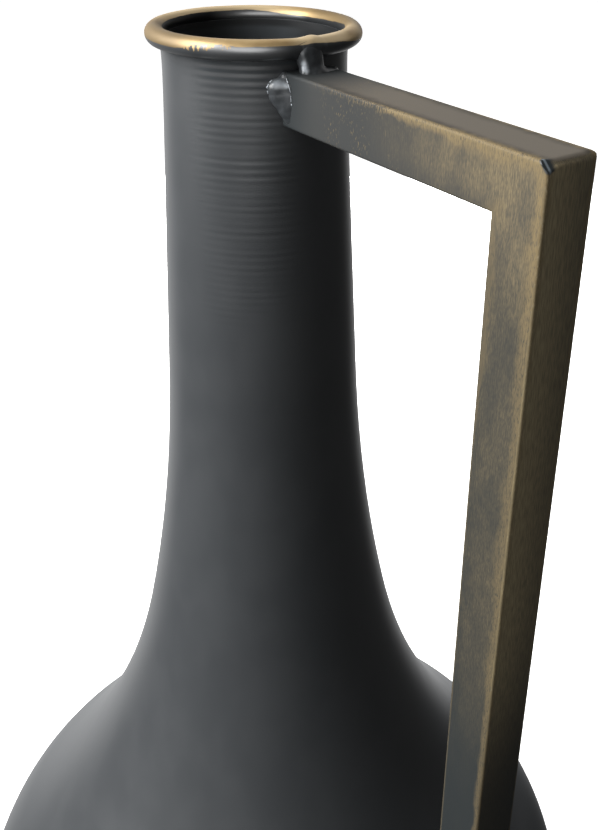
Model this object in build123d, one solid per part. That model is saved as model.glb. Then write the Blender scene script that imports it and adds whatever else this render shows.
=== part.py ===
from build123d import *
from math import asin, atan2, cos, degrees, radians, sin, tan
import os

# An urn vase of spun sheet metal: a long flared neck welded to a round bowl at the girth,
# a round-bar ring on the lip, and one square-tube handle welded to the neck and the shoulder.
# Millimetres and degrees. The origin is the centre of the base on the floor, +Z is up,
# and the handle is on the +X side. A tilt is measured from the vertical.

# Body
SHEET = 1.2  # wall of both spinnings
BASE_FLAT_R = 85.0  # flat that the vase stands on
BASE_CORNER_R = 10.0  # round between the flat and the bowl
BOWL_DEPTH = 120.0  # base to girth
GIRTH_R = 167.5  # widest outer radius
SHOULDER_R = 95.0  # round of the shoulder, seen from the side
RIM_RISE = 498.0  # girth to the centre plane of the rim bar
NECK_TOP_R = 35.0  # outer radius of the neck at the rim's centre plane
TAPER_TILT = 2.6  # straight upper neck
TAPER_LENGTH = 146.0
NECK_BEND_R = 768.0  # slow bend below the straight neck
FLARE_TILT = 12.4  # tilt where the slow bend passes into the flare
NECK_EDGE_DROP = 1.2  # top edge of the sheet below the rim's centre plane
GIRTH_GAP = 2.0  # between the two sheets' edges at the girth
GIRTH_BEAD_WIDTH = 4.0
GIRTH_BEAD_CROWN = 0.8  # on the outside and the inside

# Rim
RIM_BAR_D = 7.5
RIM_STEP = 0.3  # inside of the bar outside the neck's bore
RIM_JOINT_GAP = 2.0  # between the bar's two ends
RIM_JOINT_LENGTH = 9.0
RIM_JOINT_CROWN = 0.5

# Handle
TUBE = 20.0  # outside of the square tube
TUBE_WALL = 1.5
TUBE_CORNER_R = 2.0
BORE_CORNER_MIN = 0.2  # least round in the corners of the tube's bore
ARM_DROP = 8.0  # top of the arm below the rim's centre plane
LEG_SETBACK = 3.5  # outer face of the leg inside the girth
CORNER_GROOVE = 2.0  # bevel along the outer edge of the mitre

# Welds, with the blobs' heights measured from the arm's top
SIDE_BEAD_R = 3.2  # run of weld down each side of the arm's end
SIDE_BEAD_MARGIN = 1.0  # from the run's ends to the arm's top and underside
SIDE_BLOB_OUT = 1.2  # blob's centre outside the arm's side face
FRONT_BLOB_R = 4.6
FRONT_BLOB_LOW = -10.5
FRONT_BLOB_HIGH = -2.6
BACK_BLOB_R = 4.0
BACK_BLOB_LOW = -6.0
BACK_BLOB_HIGH = 2.4
TOP_WELD_R = 4.8
TOP_WELD_OUT = 1.0  # centre of the top weld outside the rim's centre circle
TOP_WELD_SINK = 2.5  # the full drop's lower end below the arm's top
TOP_WELD_CLIMB = 3.4  # the full drop's upper end above the rim bar's underside
SHOULDER_BEAD = 3.0  # leg of the fillet around the foot of the handle
SHOULDER_FIT = 0.15  # clearance between that fillet and the shoulder

# Heights and places that follow
GIRTH_Z = BOWL_DEPTH
RIM_Z = GIRTH_Z + RIM_RISE
NECK_EDGE_Z = RIM_Z - NECK_EDGE_DROP
RIM_BAR_R = RIM_BAR_D / 2
RIM_R = NECK_TOP_R - SHEET / cos(radians(TAPER_TILT)) + RIM_STEP + RIM_BAR_R
ARM_TOP = RIM_Z - ARM_DROP
ARM_MID = ARM_TOP - TUBE / 2
ARM_BOTTOM = ARM_TOP - TUBE
ARM_START = NECK_TOP_R + ARM_DROP * tan(radians(TAPER_TILT))
LEG_OUTER = GIRTH_R - LEG_SETBACK
LEG_MID = LEG_OUTER - TUBE / 2
LEG_INNER = LEG_OUTER - TUBE


def polar(centre, radius, angle):
    """Point at a distance and an angle from a centre, in the half plane of radius and height."""
    return (centre[0] + radius * cos(radians(angle)), centre[1] + radius * sin(radians(angle)))


def arc(centre, radius, start, end):
    """Arc about a centre between two angles."""
    ends = [polar(centre, radius, angle) for angle in (start, (start + end) / 2, end)]
    return ThreePointArc(*ends)


# Outline of the body: a line and three tangent arcs above the girth, two arcs and a line below it
taper_end = (NECK_TOP_R + TAPER_LENGTH * tan(radians(TAPER_TILT)), RIM_Z - TAPER_LENGTH)
bend_centre = polar(taper_end, NECK_BEND_R, TAPER_TILT)
flare_start = polar(bend_centre, -NECK_BEND_R, FLARE_TILT)
shoulder_centre = (GIRTH_R - SHOULDER_R, GIRTH_Z)
# The flare leaves the slow bend along its tangent and touches the shoulder's circle, which fixes its radius
across = flare_start[0] - shoulder_centre[0]
above = flare_start[1] - shoulder_centre[1]
reach = across * cos(radians(FLARE_TILT)) + above * sin(radians(FLARE_TILT))
flare_r = (across**2 + above**2 - SHOULDER_R**2) / (2 * (SHOULDER_R - reach))
flare_centre = polar(flare_start, flare_r, FLARE_TILT)
shoulder_tilt = degrees(atan2(flare_centre[1] - shoulder_centre[1], flare_centre[0] - shoulder_centre[0]))
# The bowl is upright at the girth and touches the round of the base's corner, which fixes its radius
overhang = GIRTH_R - BASE_FLAT_R
drop = GIRTH_Z - BASE_CORNER_R
bowl_r = (overhang**2 + drop**2 - BASE_CORNER_R**2) / (2 * (overhang - BASE_CORNER_R))
bowl_centre = (GIRTH_R - bowl_r, GIRTH_Z)
corner_centre = (BASE_FLAT_R, BASE_CORNER_R)
bowl_end = degrees(atan2(corner_centre[1] - bowl_centre[1], corner_centre[0] - bowl_centre[0]))


def upper_outline(inset, gap):
    """Edges from the neck's top edge to the girth, moved inwards by inset and stopped above the gap."""
    taper_top = NECK_TOP_R + NECK_EDGE_DROP * tan(radians(TAPER_TILT)) - inset / cos(radians(TAPER_TILT))
    shoulder_end = degrees(asin(gap / 2 / (SHOULDER_R - inset)))
    return [
        Line((taper_top, NECK_EDGE_Z), polar(taper_end, -inset, TAPER_TILT)),
        arc(bend_centre, NECK_BEND_R + inset, 180 + TAPER_TILT, 180 + FLARE_TILT),
        arc(flare_centre, flare_r + inset, 180 + FLARE_TILT, 180 + shoulder_tilt),
        arc(shoulder_centre, SHOULDER_R - inset, shoulder_tilt, shoulder_end),
    ]


def lower_outline(inset, gap):
    """Edges from the girth to the base's centre, moved inwards by inset and started below the gap."""
    bowl_start = -degrees(asin(gap / 2 / (bowl_r - inset)))
    return [
        arc(bowl_centre, bowl_r - inset, bowl_start, bowl_end),
        arc(corner_centre, BASE_CORNER_R - inset, bowl_end, -90),
        Line((BASE_FLAT_R, inset), (0, inset)),
    ]


def turned(edges):
    """Solid of revolution about Z of the closed outline that the edges make, its seam away from the handle."""
    return Rot(Z=180) * revolve(Plane.XZ * make_face(edges), Axis.Z)


def shell(outer, inner):
    """Spun sheet between an outer and an inner run of edges, closed at both ends."""
    first = Line(outer[0] @ 0, inner[0] @ 0)
    last = Line(outer[-1] @ 1, inner[-1] @ 1)
    return turned(outer + inner + [first, last])


def filled_body():
    """The whole body as one filled solid."""
    edges = upper_outline(0, 0) + lower_outline(0, 0)
    top = edges[0] @ 0
    bottom = edges[-1] @ 1
    axis_top = (0, top.Y)
    return turned(edges + [Line(bottom, axis_top), Line(axis_top, top)])


def seam_bead(gap, width, crown):
    """Bead through the gap at the girth, crowned over both sheets' outer and inner faces."""
    edges = []
    roots = []
    for inset, middle in ((0, GIRTH_R + crown), (SHEET, GIRTH_R - SHEET - crown)):
        toes = []
        for centre, sheet_r, side in ((shoulder_centre, SHOULDER_R, 1), (bowl_centre, bowl_r, -1)):
            radius = sheet_r - inset
            root = side * degrees(asin(gap / 2 / radius))
            toe = side * degrees(asin(width / 2 / radius))
            under_bead = arc(centre, radius, root, toe)
            roots.append(under_bead @ 0)
            toes.append(under_bead @ 1)
            edges.append(under_bead)
        edges.append(ThreePointArc(toes[0], (middle, GIRTH_Z), toes[1]))
    outer_upper, outer_lower, inner_upper, inner_lower = roots
    return turned(edges + [Line(outer_upper, inner_upper), Line(outer_lower, inner_lower)])


def rim_bar(radius, length, middle):
    """Round bar along the rim's circle, its length along the circle centred on an angle about Z."""
    angle = degrees(length / RIM_R)
    section = Plane.XZ * Pos(RIM_R, RIM_Z) * Circle(radius)
    return Rot(Z=middle - angle / 2) * revolve(section, Axis.Z, revolution_arc=angle)


def tube_section(side, corner):
    """Face of the square tube's outside or bore."""
    return RectangleRounded(side, side, corner)


def arm_prism(side, corner, start):
    """Level square bar along X, from a start to the leg's outer face."""
    section = Plane.YZ * Pos(0, ARM_MID) * tube_section(side, corner)
    return Pos(X=start) * extrude(section, LEG_OUTER - start)


def leg_prism(side, corner):
    """Upright square bar from the girth's height to the arm's top."""
    section = Pos(LEG_MID, 0, GIRTH_Z) * tube_section(side, corner)
    return extrude(section, ARM_TOP - GIRTH_Z)


def across_handle(points, width):
    """Prism of an outline in the handle's own plane, centred on that plane."""
    outline = Polyline(*points, close=True)
    return extrude(Plane.XZ * make_face(outline), width / 2, both=True)


def weld_drop(radius, low, high):
    """Rounded lump of weld about the Z axis, between two heights."""
    lump = scale(Sphere(radius), by=(1, 1, (high - low) / (2 * radius)))
    return Pos(0, 0, (low + high) / 2) * lump


# Spun body and its seam
body = filled_body()
neck_sheet = shell(upper_outline(0, GIRTH_GAP), upper_outline(SHEET, GIRTH_GAP))
lower_bowl = shell(lower_outline(0, GIRTH_GAP), lower_outline(SHEET, GIRTH_GAP))
girth_weld = seam_bead(GIRTH_GAP, GIRTH_BEAD_WIDTH, GIRTH_BEAD_CROWN)

# Rim: the bar is a ring with one butt joint above the handle, and the neck's edge is dressed to fit it
rim_length = radians(360) * RIM_R
whole_rim = Pos(0, 0, RIM_Z) * Rot(Z=180) * Torus(RIM_R, RIM_BAR_R)
rim_ring = rim_bar(RIM_BAR_R, rim_length - RIM_JOINT_GAP, 180)
neck_shell = neck_sheet - whole_rim
rim_joint = rim_bar(RIM_BAR_R + RIM_JOINT_CROWN, RIM_JOINT_LENGTH, 0)
rim_joint_weld = rim_joint - rim_ring - neck_shell

# Handle: two lengths of tube, mitred together, bevelled along the mitre's outer edge
bore = TUBE - 2 * TUBE_WALL
bore_corner = max(TUBE_CORNER_R - TUBE_WALL, BORE_CORNER_MIN)
mitre_in = (LEG_INNER - TUBE, ARM_BOTTOM - TUBE)
mitre_out = (LEG_OUTER + TUBE, ARM_TOP + TUBE)
under_mitre = across_handle([mitre_in, mitre_out, (mitre_out[0], mitre_in[1])], 2 * TUBE)
over_mitre = across_handle([mitre_in, mitre_out, (mitre_in[0], mitre_out[1])], 2 * TUBE)
groove_top = (LEG_OUTER - CORNER_GROOVE, ARM_TOP)
groove_side = (LEG_OUTER, ARM_TOP - CORNER_GROOVE)
groove = across_handle([groove_top, (LEG_OUTER, ARM_TOP), groove_side], 2 * TUBE)
arm_outside = arm_prism(TUBE, TUBE_CORNER_R, ARM_START)
leg_outside = leg_prism(TUBE, TUBE_CORNER_R)
arm_tube = arm_outside - arm_prism(bore, bore_corner, ARM_START)
leg_tube = leg_outside - leg_prism(bore, bore_corner)
handle_arm = arm_tube - under_mitre - groove - body
handle_leg = leg_tube - over_mitre - groove - body
groove_centre = (LEG_OUTER - CORNER_GROOVE, ARM_TOP - CORNER_GROOVE)
corner_section = make_face([arc(groove_centre, CORNER_GROOVE, 90, 0), Line(groove_side, groove_top)])
handle_corner_weld = extrude(Plane.XZ * corner_section, TUBE / 2 - TUBE_CORNER_R, both=True)


def side_weld(side, blob_radius, blob_low, blob_high):
    """Weld between the neck and one side of the arm's end: a run with a blob on it. Side is -1 or 1."""
    run = weld_drop(SIDE_BEAD_R, ARM_BOTTOM + SIDE_BEAD_MARGIN, ARM_TOP - SIDE_BEAD_MARGIN)
    run = Pos(ARM_START, side * TUBE / 2, 0) * run
    blob = weld_drop(blob_radius, ARM_TOP + blob_low, ARM_TOP + blob_high)
    blob = Pos(ARM_START, side * (TUBE / 2 + SIDE_BLOB_OUT), 0) * blob
    return run + blob - arm_outside - body


# Welds of the handle
neck_weld_front = side_weld(-1, FRONT_BLOB_R, FRONT_BLOB_LOW, FRONT_BLOB_HIGH)
neck_weld_back = side_weld(1, BACK_BLOB_R, BACK_BLOB_LOW, BACK_BLOB_HIGH)
top_blob = weld_drop(TOP_WELD_R, ARM_TOP - TOP_WELD_SINK, RIM_Z - RIM_BAR_R + TOP_WELD_CLIMB)
top_blob = Pos(RIM_R + TOP_WELD_OUT, 0, 0) * top_blob
neck_weld_top = top_blob - whole_rim - rim_joint - arm_outside - body
foot = leg_prism(TUBE + 2 * SHOULDER_BEAD, TUBE_CORNER_R + SHOULDER_BEAD)
over_shoulder = shell(upper_outline(-SHOULDER_BEAD, 0), upper_outline(-SHOULDER_FIT, 0))
shoulder_weld = (foot & over_shoulder) - leg_outside

pieces = {
    "neck_shell": neck_shell,
    "lower_bowl": lower_bowl,
    "girth_weld": girth_weld,
    "rim_ring": rim_ring,
    "rim_joint_weld": rim_joint_weld,
    "handle_arm": handle_arm,
    "handle_leg": handle_leg,
    "handle_corner_weld": handle_corner_weld,
    "neck_weld_front": neck_weld_front,
    "neck_weld_top": neck_weld_top,
    "neck_weld_back": neck_weld_back,
    "shoulder_weld": shoulder_weld,
}
os.makedirs("parts", exist_ok=True)
for name, shape in pieces.items():
    export_step(shape, f"parts/{name}.step")
    print(name, len(shape.solids()), "solid", round(shape.volume, 1), "mm3")
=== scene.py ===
"""Looks of an urn vase: a spun sheet body, a round-bar rim and a welded square-tube handle.

Sizes are in millimetres in the part's own frame: the origin is the centre of the base on the floor, +Z is
up and the handle is on the +X side. Meshes are shaped in millimetres and scaled to metres when they are
finished. Directions around the vase are in degrees from the handle's side.
"""
import logging
from collections.abc import Callable, Iterable
from dataclasses import dataclass, field
from enum import Enum
from functools import cached_property
from math import atan2, ceil, cos, degrees, exp, hypot, pi, radians, sin, sqrt, tan, tau

import bmesh
import bpy
from mathutils import Matrix, Vector, noise


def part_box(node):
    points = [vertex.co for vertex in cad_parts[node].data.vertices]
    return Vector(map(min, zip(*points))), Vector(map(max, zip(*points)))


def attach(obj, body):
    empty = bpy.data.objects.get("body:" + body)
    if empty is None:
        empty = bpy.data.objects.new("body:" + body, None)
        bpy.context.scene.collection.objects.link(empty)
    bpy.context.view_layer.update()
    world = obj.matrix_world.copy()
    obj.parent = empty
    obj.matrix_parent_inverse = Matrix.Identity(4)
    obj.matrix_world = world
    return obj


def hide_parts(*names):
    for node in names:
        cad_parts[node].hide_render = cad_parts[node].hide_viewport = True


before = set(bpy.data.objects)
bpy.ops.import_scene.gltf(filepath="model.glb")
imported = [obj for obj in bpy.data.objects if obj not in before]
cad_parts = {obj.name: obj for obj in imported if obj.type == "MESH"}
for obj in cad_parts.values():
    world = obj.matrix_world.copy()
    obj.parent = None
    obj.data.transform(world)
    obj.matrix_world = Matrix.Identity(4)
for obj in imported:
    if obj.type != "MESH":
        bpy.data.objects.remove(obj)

MM = 0.001
MERGE = 1e-4
ROOT = "root"
CHIPS_AND_SHEEN = "chips_and_sheen"
IMAGE = (599, 830)
WHITE = (1, 1, 1, 1)
TUBE_CREASE = 60.0
WELD_CREASE = 70.0

Point = tuple[float, float]
Band = tuple[float, float]
Size = tuple[float, float, float]
Drop = tuple[float, float, float, float]
Colour = tuple[float, float, float, float]
Socket = bpy.types.NodeSocket
Value = float | Socket
Direction = Socket | Vector | Size

log = logging.getLogger("urn_vase")


class Slot(Enum):
    """Material slots of the record."""

    BODY = "body_black"
    RIM = "rim_gold"
    HANDLE = "handle_bronze"
    WELD = "weld_black"


class Side(Enum):
    """Sides of the handle, by the sign of Y."""

    FRONT = -1
    BACK = 1


class Rays(Enum):
    """Light that a lamp gives."""

    ALL = "all"
    SOFT = "diffuse light only"
    GLINTS = "reflections only"


@dataclass(frozen=True)
class Fade:
    """Smooth change from start to end while what is read goes from low to high."""

    low: float
    high: float
    start: float = 0.0
    end: float = 1.0


@dataclass(frozen=True)
class Stretch:
    """Part of the way around the axis, by the cosines from its middle where it ends and where it is full."""

    middle: float
    none: float
    full: float


@dataclass(frozen=True)
class Grain:
    """Noise: length of a feature along X, Y and Z, octaves of finer noise, and a shift that sets it apart."""

    size: Size
    detail: float
    shift: float = 0.0


@dataclass(frozen=True)
class Lumps:
    """Unevenness of a surface: length and height of a lump."""

    size: float
    depth: float


@dataclass(frozen=True)
class Fusing:
    """How drops of weld metal run together: size of the grid and rounds of smoothing."""

    voxel: float
    rounds: int
    factor: float = 0.5


# Mesh helpers


def arc_points(centre: Point, radius: float, start: float, end: float, step: float) -> list[Point]:
    """Sample an arc in the half plane of radius and height.

    Args:
        centre: Centre of the arc.
        radius: Radius of the arc.
        start: First angle in degrees.
        end: Last angle in degrees.
        step: Longest distance between two points.

    Returns:
        Points from the first angle to the last.
    """
    count = max(2, ceil(abs(radians(end - start)) * radius / step))
    angles = [radians(start + (end - start) * index / count) for index in range(count + 1)]
    return [(centre[0] + radius * cos(angle), centre[1] + radius * sin(angle)) for angle in angles]


def line_points(start: Point, end: Point, step: float) -> list[Point]:
    """Sample a straight line.

    Args:
        start: First point.
        end: Last point.
        step: Longest distance between two points.

    Returns:
        Points from the first to the last.
    """
    count = max(1, ceil(hypot(end[0] - start[0], end[1] - start[1]) / step))
    shares = [index / count for index in range(count + 1)]
    return [(start[0] + (end[0] - start[0]) * t, start[1] + (end[1] - start[1]) * t) for t in shares]


def smooth_step(value: float, low: float, high: float) -> float:
    """Rise smoothly from 0 at low to 1 at high."""
    share = min(1.0, max(0.0, (value - low) / (high - low)))
    return share * share * (3 - 2 * share)


def spun(outline: list[Point], steps: int, closed: bool) -> bmesh.types.BMesh:
    """Spin an outline once about Z.

    Args:
        outline: Points of radius and height.
        steps: Segments of the turn.
        closed: Whether the last point joins the first one.

    Returns:
        The spun shell with its seam and poles merged.
    """
    bm = bmesh.new()
    verts = [bm.verts.new((radius, 0, height)) for radius, height in outline]
    chain = verts + verts[:1] if closed else verts
    edges = [bm.edges.new(pair) for pair in zip(chain, chain[1:])]
    bmesh.ops.spin(
        bm, geom=verts + edges, cent=(0, 0, 0), axis=(0, 0, 1), dvec=(0, 0, 0),
        angle=tau, steps=steps, use_merge=True, use_duplicate=False,
    )
    bmesh.ops.remove_doubles(bm, verts=bm.verts, dist=MERGE)
    bmesh.ops.recalc_face_normals(bm, faces=bm.faces)
    return bm


def roughen(bm: bmesh.types.BMesh, lumps: Lumps) -> None:
    """Move a mesh's surface in and out.

    Args:
        bm: The mesh.
        lumps: Length and height of the lumps.
    """
    bm.normal_update()
    moves = [vert.normal * lumps.depth * noise.noise(vert.co / lumps.size) for vert in bm.verts]
    for vert, move in zip(bm.verts, moves):
        vert.co += move


def make_piece(bm: bmesh.types.BMesh, name: str, crease: float = 40.0) -> bpy.types.Object:
    """Turn a finished bmesh in millimetres into a smooth-shaded object in metres.

    Args:
        bm: The mesh, which is freed.
        name: Name of the piece.
        crease: Angle in degrees above which an edge stays sharp.

    Returns:
        The object, at the origin.
    """
    bmesh.ops.scale(bm, vec=(MM, MM, MM), verts=bm.verts)
    for face in bm.faces:
        face.smooth = True
    mesh = bpy.data.meshes.new(name)
    bm.to_mesh(mesh)
    bm.free()
    mesh.set_sharp_from_angle(angle=radians(crease))
    piece = bpy.data.objects.new(name, mesh)
    bpy.context.scene.collection.objects.link(piece)
    return piece


def dress_piece(piece: bpy.types.Object, material: bpy.types.Material) -> None:
    """Give a piece its one material."""
    piece.data.materials.clear()
    piece.data.materials.append(material)


@dataclass
class SubAssembly:
    """Pieces that are built together and share a finish, by the CAD node that each stands for."""

    pieces: dict[str, bpy.types.Object] = field(default_factory=dict, init=False)

    def mount(self, slot: Slot, pieces: dict[str, bpy.types.Object]) -> None:
        """Let finished pieces ride on the body and stand for their CAD nodes.

        Args:
            slot: Material slot for the pieces; it is not used.
            pieces: The pieces by node.
        """
        self.pieces = pieces
        for node, piece in pieces.items():
            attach(piece, ROOT)
            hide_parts(node)

    def cover(self, material: bpy.types.Material) -> None:
        """Give every piece the same finish."""
        for piece in self.pieces.values():
            dress_piece(piece, material)


# Shader helpers


class NodeGraph:
    """Nodes of a material or a world in the making."""

    def __init__(self, tree: bpy.types.NodeTree) -> None:
        """Start from the tree that nodes are added to."""
        self.tree = tree

    def node(self, kind: str, **settings: object) -> bpy.types.Node:
        """Add a node.

        Args:
            kind: Node type.
            settings: Properties to set on it.

        Returns:
            The node.
        """
        made = self.tree.nodes.new(kind)
        for name, value in settings.items():
            setattr(made, name, value)
        return made

    def plug(self, socket: Socket, value: Value | Colour) -> None:
        """Link a socket to another one or set its constant.

        Args:
            socket: Input socket.
            value: Output socket or constant.
        """
        if isinstance(value, bpy.types.NodeSocket):
            self.tree.links.new(value, socket)
        else:
            socket.default_value = value

    def math(self, operation: str, first: Value, second: Value = 0.0) -> Socket:
        """Add a math node.

        Args:
            operation: Blender's name of the operation.
            first: First value.
            second: Second value.

        Returns:
            The result.
        """
        made = self.node("ShaderNodeMath", operation=operation)
        self.plug(made.inputs[0], first)
        self.plug(made.inputs[1], second)
        return made.outputs[0]

    def product(self, first: Value, *others: Value) -> Socket:
        """Multiply values.

        Args:
            first: First value.
            others: The values that it is multiplied with.

        Returns:
            The result.
        """
        for other in others:
            first = self.math("MULTIPLY", first, other)
        return first

    def ramp(self, value: Value, low: Value, high: Value, start: Value = 0.0, end: Value = 1.0) -> Socket:
        """Rise or fall smoothly between two values.

        Args:
            value: What is read.
            low: Where the ramp starts.
            high: Where it ends.
            start: Result at low and below.
            end: Result at high and above.

        Returns:
            The result.
        """
        made = self.node("ShaderNodeMapRange", interpolation_type="SMOOTHSTEP")
        for socket, given in zip(made.inputs, (value, low, high, start, end)):
            self.plug(socket, given)
        return made.outputs[0]

    def fade(self, value: Value, fade: Fade) -> Socket:
        """Result of a fade where a value is read."""
        return self.ramp(value, fade.low, fade.high, fade.start, fade.end)

    def vector(self, operation: str, first: Socket, second: Direction | None = None) -> bpy.types.Node:
        """Add a vector math node.

        Args:
            operation: Blender's name of the operation.
            first: First vector.
            second: Second vector, where the operation takes one.

        Returns:
            The node, with the vector and the value that result.
        """
        made = self.node("ShaderNodeVectorMath", operation=operation)
        self.plug(made.inputs[0], first)
        if second is not None:
            self.plug(made.inputs[1], second)
        return made

    def level(self, place: Socket) -> Socket:
        """A vector without its height."""
        return self.vector("MULTIPLY", place, (1, 1, 0)).outputs[0]

    def unit(self, way: Socket) -> Socket:
        """A vector brought to length 1."""
        return self.vector("NORMALIZE", way).outputs[0]

    def facing(self, way: Socket, direction: Direction) -> Socket:
        """How far a unit direction reaches along another vector: the cosine, where both have length 1."""
        return self.vector("DOT_PRODUCT", way, direction).outputs["Value"]


class ShaderGraph(NodeGraph):
    """A material in the making: its principled surface and what feeds it, with places in millimetres."""

    def __init__(self, name: str) -> None:
        """Start a material.

        Args:
            name: Name of the material.
        """
        self.material = bpy.data.materials.new(name)
        self.material.use_nodes = True
        super().__init__(self.material.node_tree)
        self.surface = self.tree.nodes["Principled BSDF"]
        scaled = self.vector("SCALE", self.node("ShaderNodeTexCoord").outputs["Object"])
        scaled.inputs["Scale"].default_value = 1 / MM
        self.place = scaled.outputs[0]
        split = self.node("ShaderNodeSeparateXYZ")
        self.plug(split.inputs[0], self.place)
        self.x, self.y, self.z = split.outputs

    @cached_property
    def spoke(self) -> Socket:
        """Unit direction from the vase's axis."""
        return self.unit(self.level(self.place))

    def around(self, stretch: Stretch, start: float = 0.0, end: float = 1.0) -> Socket:
        """Go from start outside a stretch around the axis to end in its middle."""
        way = Vector((cos(radians(stretch.middle)), sin(radians(stretch.middle)), 0))
        return self.ramp(self.facing(self.spoke, way), stretch.none, stretch.full, start, end)

    def set(self, **inputs: Value | Colour) -> None:
        """Feed the principled surface's inputs, which are named with underscores for spaces."""
        for name, value in inputs.items():
            self.plug(self.surface.inputs[name.replace("_", " ")], value)

    def grain(self, grain: Grain) -> Socket:
        """Noise over the piece.

        Args:
            grain: Its size, detail and shift.

        Returns:
            Noise about 0.5.
        """
        mapping = self.node("ShaderNodeMapping")
        self.plug(mapping.inputs["Vector"], self.place)
        mapping.inputs["Scale"].default_value = [1 / length for length in grain.size]
        mapping.inputs["Location"].default_value = [grain.shift] * 3
        made = self.node("ShaderNodeTexNoise")
        self.plug(made.inputs["Vector"], mapping.outputs[0])
        made.inputs["Scale"].default_value = 1.0
        made.inputs["Detail"].default_value = grain.detail
        return made.outputs[0]

    def marks(self, grain: Grain, fade: Fade) -> Socket:
        """Result of a fade that reads a grain."""
        return self.fade(self.grain(grain), fade)

    def mix(self, share: Value, first: Socket | Colour, second: Socket | Colour) -> Socket:
        """Mix two colours.

        Args:
            share: How much of the second.
            first: First colour.
            second: Second colour.

        Returns:
            The mixed colour.
        """
        # The node has sockets for each kind of data: 6 and 7 take colours, and output 2 gives one.
        made = self.node("ShaderNodeMix", data_type="RGBA")
        for index, given in ((0, share), (6, first), (7, second)):
            self.plug(made.inputs[index], given)
        return made.outputs[2]

    def bump(self, height: Value, depth: float, under: Socket | None = None) -> Socket:
        """Raise the surface by a height.

        Args:
            height: Height between 0 and 1.
            depth: Millimetres that a height of 1 stands for.
            under: Normal that this one is added to.

        Returns:
            The new normal.
        """
        made = self.node("ShaderNodeBump")
        made.inputs["Strength"].default_value = 1.0
        made.inputs["Distance"].default_value = depth * MM
        self.plug(made.inputs["Height"], height)
        if under is not None:
            self.plug(made.inputs["Normal"], under)
        return made.outputs[0]


# Corner of the handle


@dataclass(frozen=True)
class CornerNotch:
    """Small open corner left by the weld at the front end of the mitre's outer edge."""

    edge_round: float = 2.8
    depth: float = 1.1
    length: float = 4.4

    def rounding(self) -> float:
        """How far the rounded edge stays inside the sharp one, along the mitre."""
        return self.edge_round * (sqrt(2) - 1)

    def eased(self, out: float, beside: float) -> float:
        """How far out a point may lie.

        Args:
            out: Distance along the mitre from the sharp edge, negative inside.
            beside: Distance from the tube's front face.

        Returns:
            The distance along the mitre, cut back where the notch is.
        """
        if beside > self.length:
            return out
        return min(out, -self.rounding() - self.depth * (1 - beside / self.length))


# Finishes


@dataclass(frozen=True)
class BodyPaint:
    """Satin charcoal paint over spun sheet, with fine lathe lines, and painted shade inside the mouth."""

    dark: Colour = (0.036, 0.039, 0.042, 1)
    light: Colour = (0.040, 0.043, 0.046, 1)
    inside: Colour = (0.036, 0.041, 0.045, 1)
    # painted shade: near-black paint on one side of the wall inside the mouth
    wall_shade: Colour = (0.006, 0.007, 0.0075, 1)
    # painted shade: near-black band at the top of the inner wall, where it meets the rim
    crevice_shade: Colour = (0.010, 0.011, 0.012, 1)
    lines: Grain = Grain((60, 60, 0.7), 2)
    clouds: Grain = Grain((22, 22, 30), 4, 9)
    peel: Grain = Grain((0.9, 0.9, 0.9), 2, 2)
    cloud_tone: Fade = Fade(0.35, 0.65)
    cloud_gloss: Fade = Fade(0.3, 0.7, 0.38, 0.405)
    # painted shade: the stretch of the inner wall that is painted near black
    wall_shade_side: Stretch = Stretch(80.0, 0.64, 0.92)
    # painted shade: heights over which the inner wall turns to the crevice shade
    crevice_shade_rise: Fade = Fade(613.0, 615.2)
    turned_out: Fade = Fade(-1.0, 1.0)
    specular: float = 0.6
    line_depth: float = 0.016
    peel_depth: float = 0.008

    def build(self) -> bpy.types.Material:
        """Make the material.

        Returns:
            The material.
        """
        graph = ShaderGraph("charcoal_paint")
        cloud = graph.grain(self.clouds)
        lined = graph.bump(graph.grain(self.lines), self.line_depth)
        outward = graph.facing(graph.node("ShaderNodeNewGeometry").outputs["Normal"], graph.place)
        paint = graph.mix(graph.fade(cloud, self.cloud_tone), self.dark, self.light)
        # painted shade: the inner wall turns near black on one side
        inside = graph.mix(graph.around(self.wall_shade_side), self.inside, self.wall_shade)
        # painted shade: near-black band at the inner wall's top under the rim
        inside = graph.mix(graph.fade(graph.z, self.crevice_shade_rise), inside, self.crevice_shade)
        graph.set(
            Base_Color=graph.mix(graph.fade(outward, self.turned_out), inside, paint),
            Roughness=graph.fade(cloud, self.cloud_gloss),
            Specular_IOR_Level=self.specular,
            Normal=graph.bump(graph.grain(self.peel), self.peel_depth, lined),
        )
        return graph.material


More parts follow.
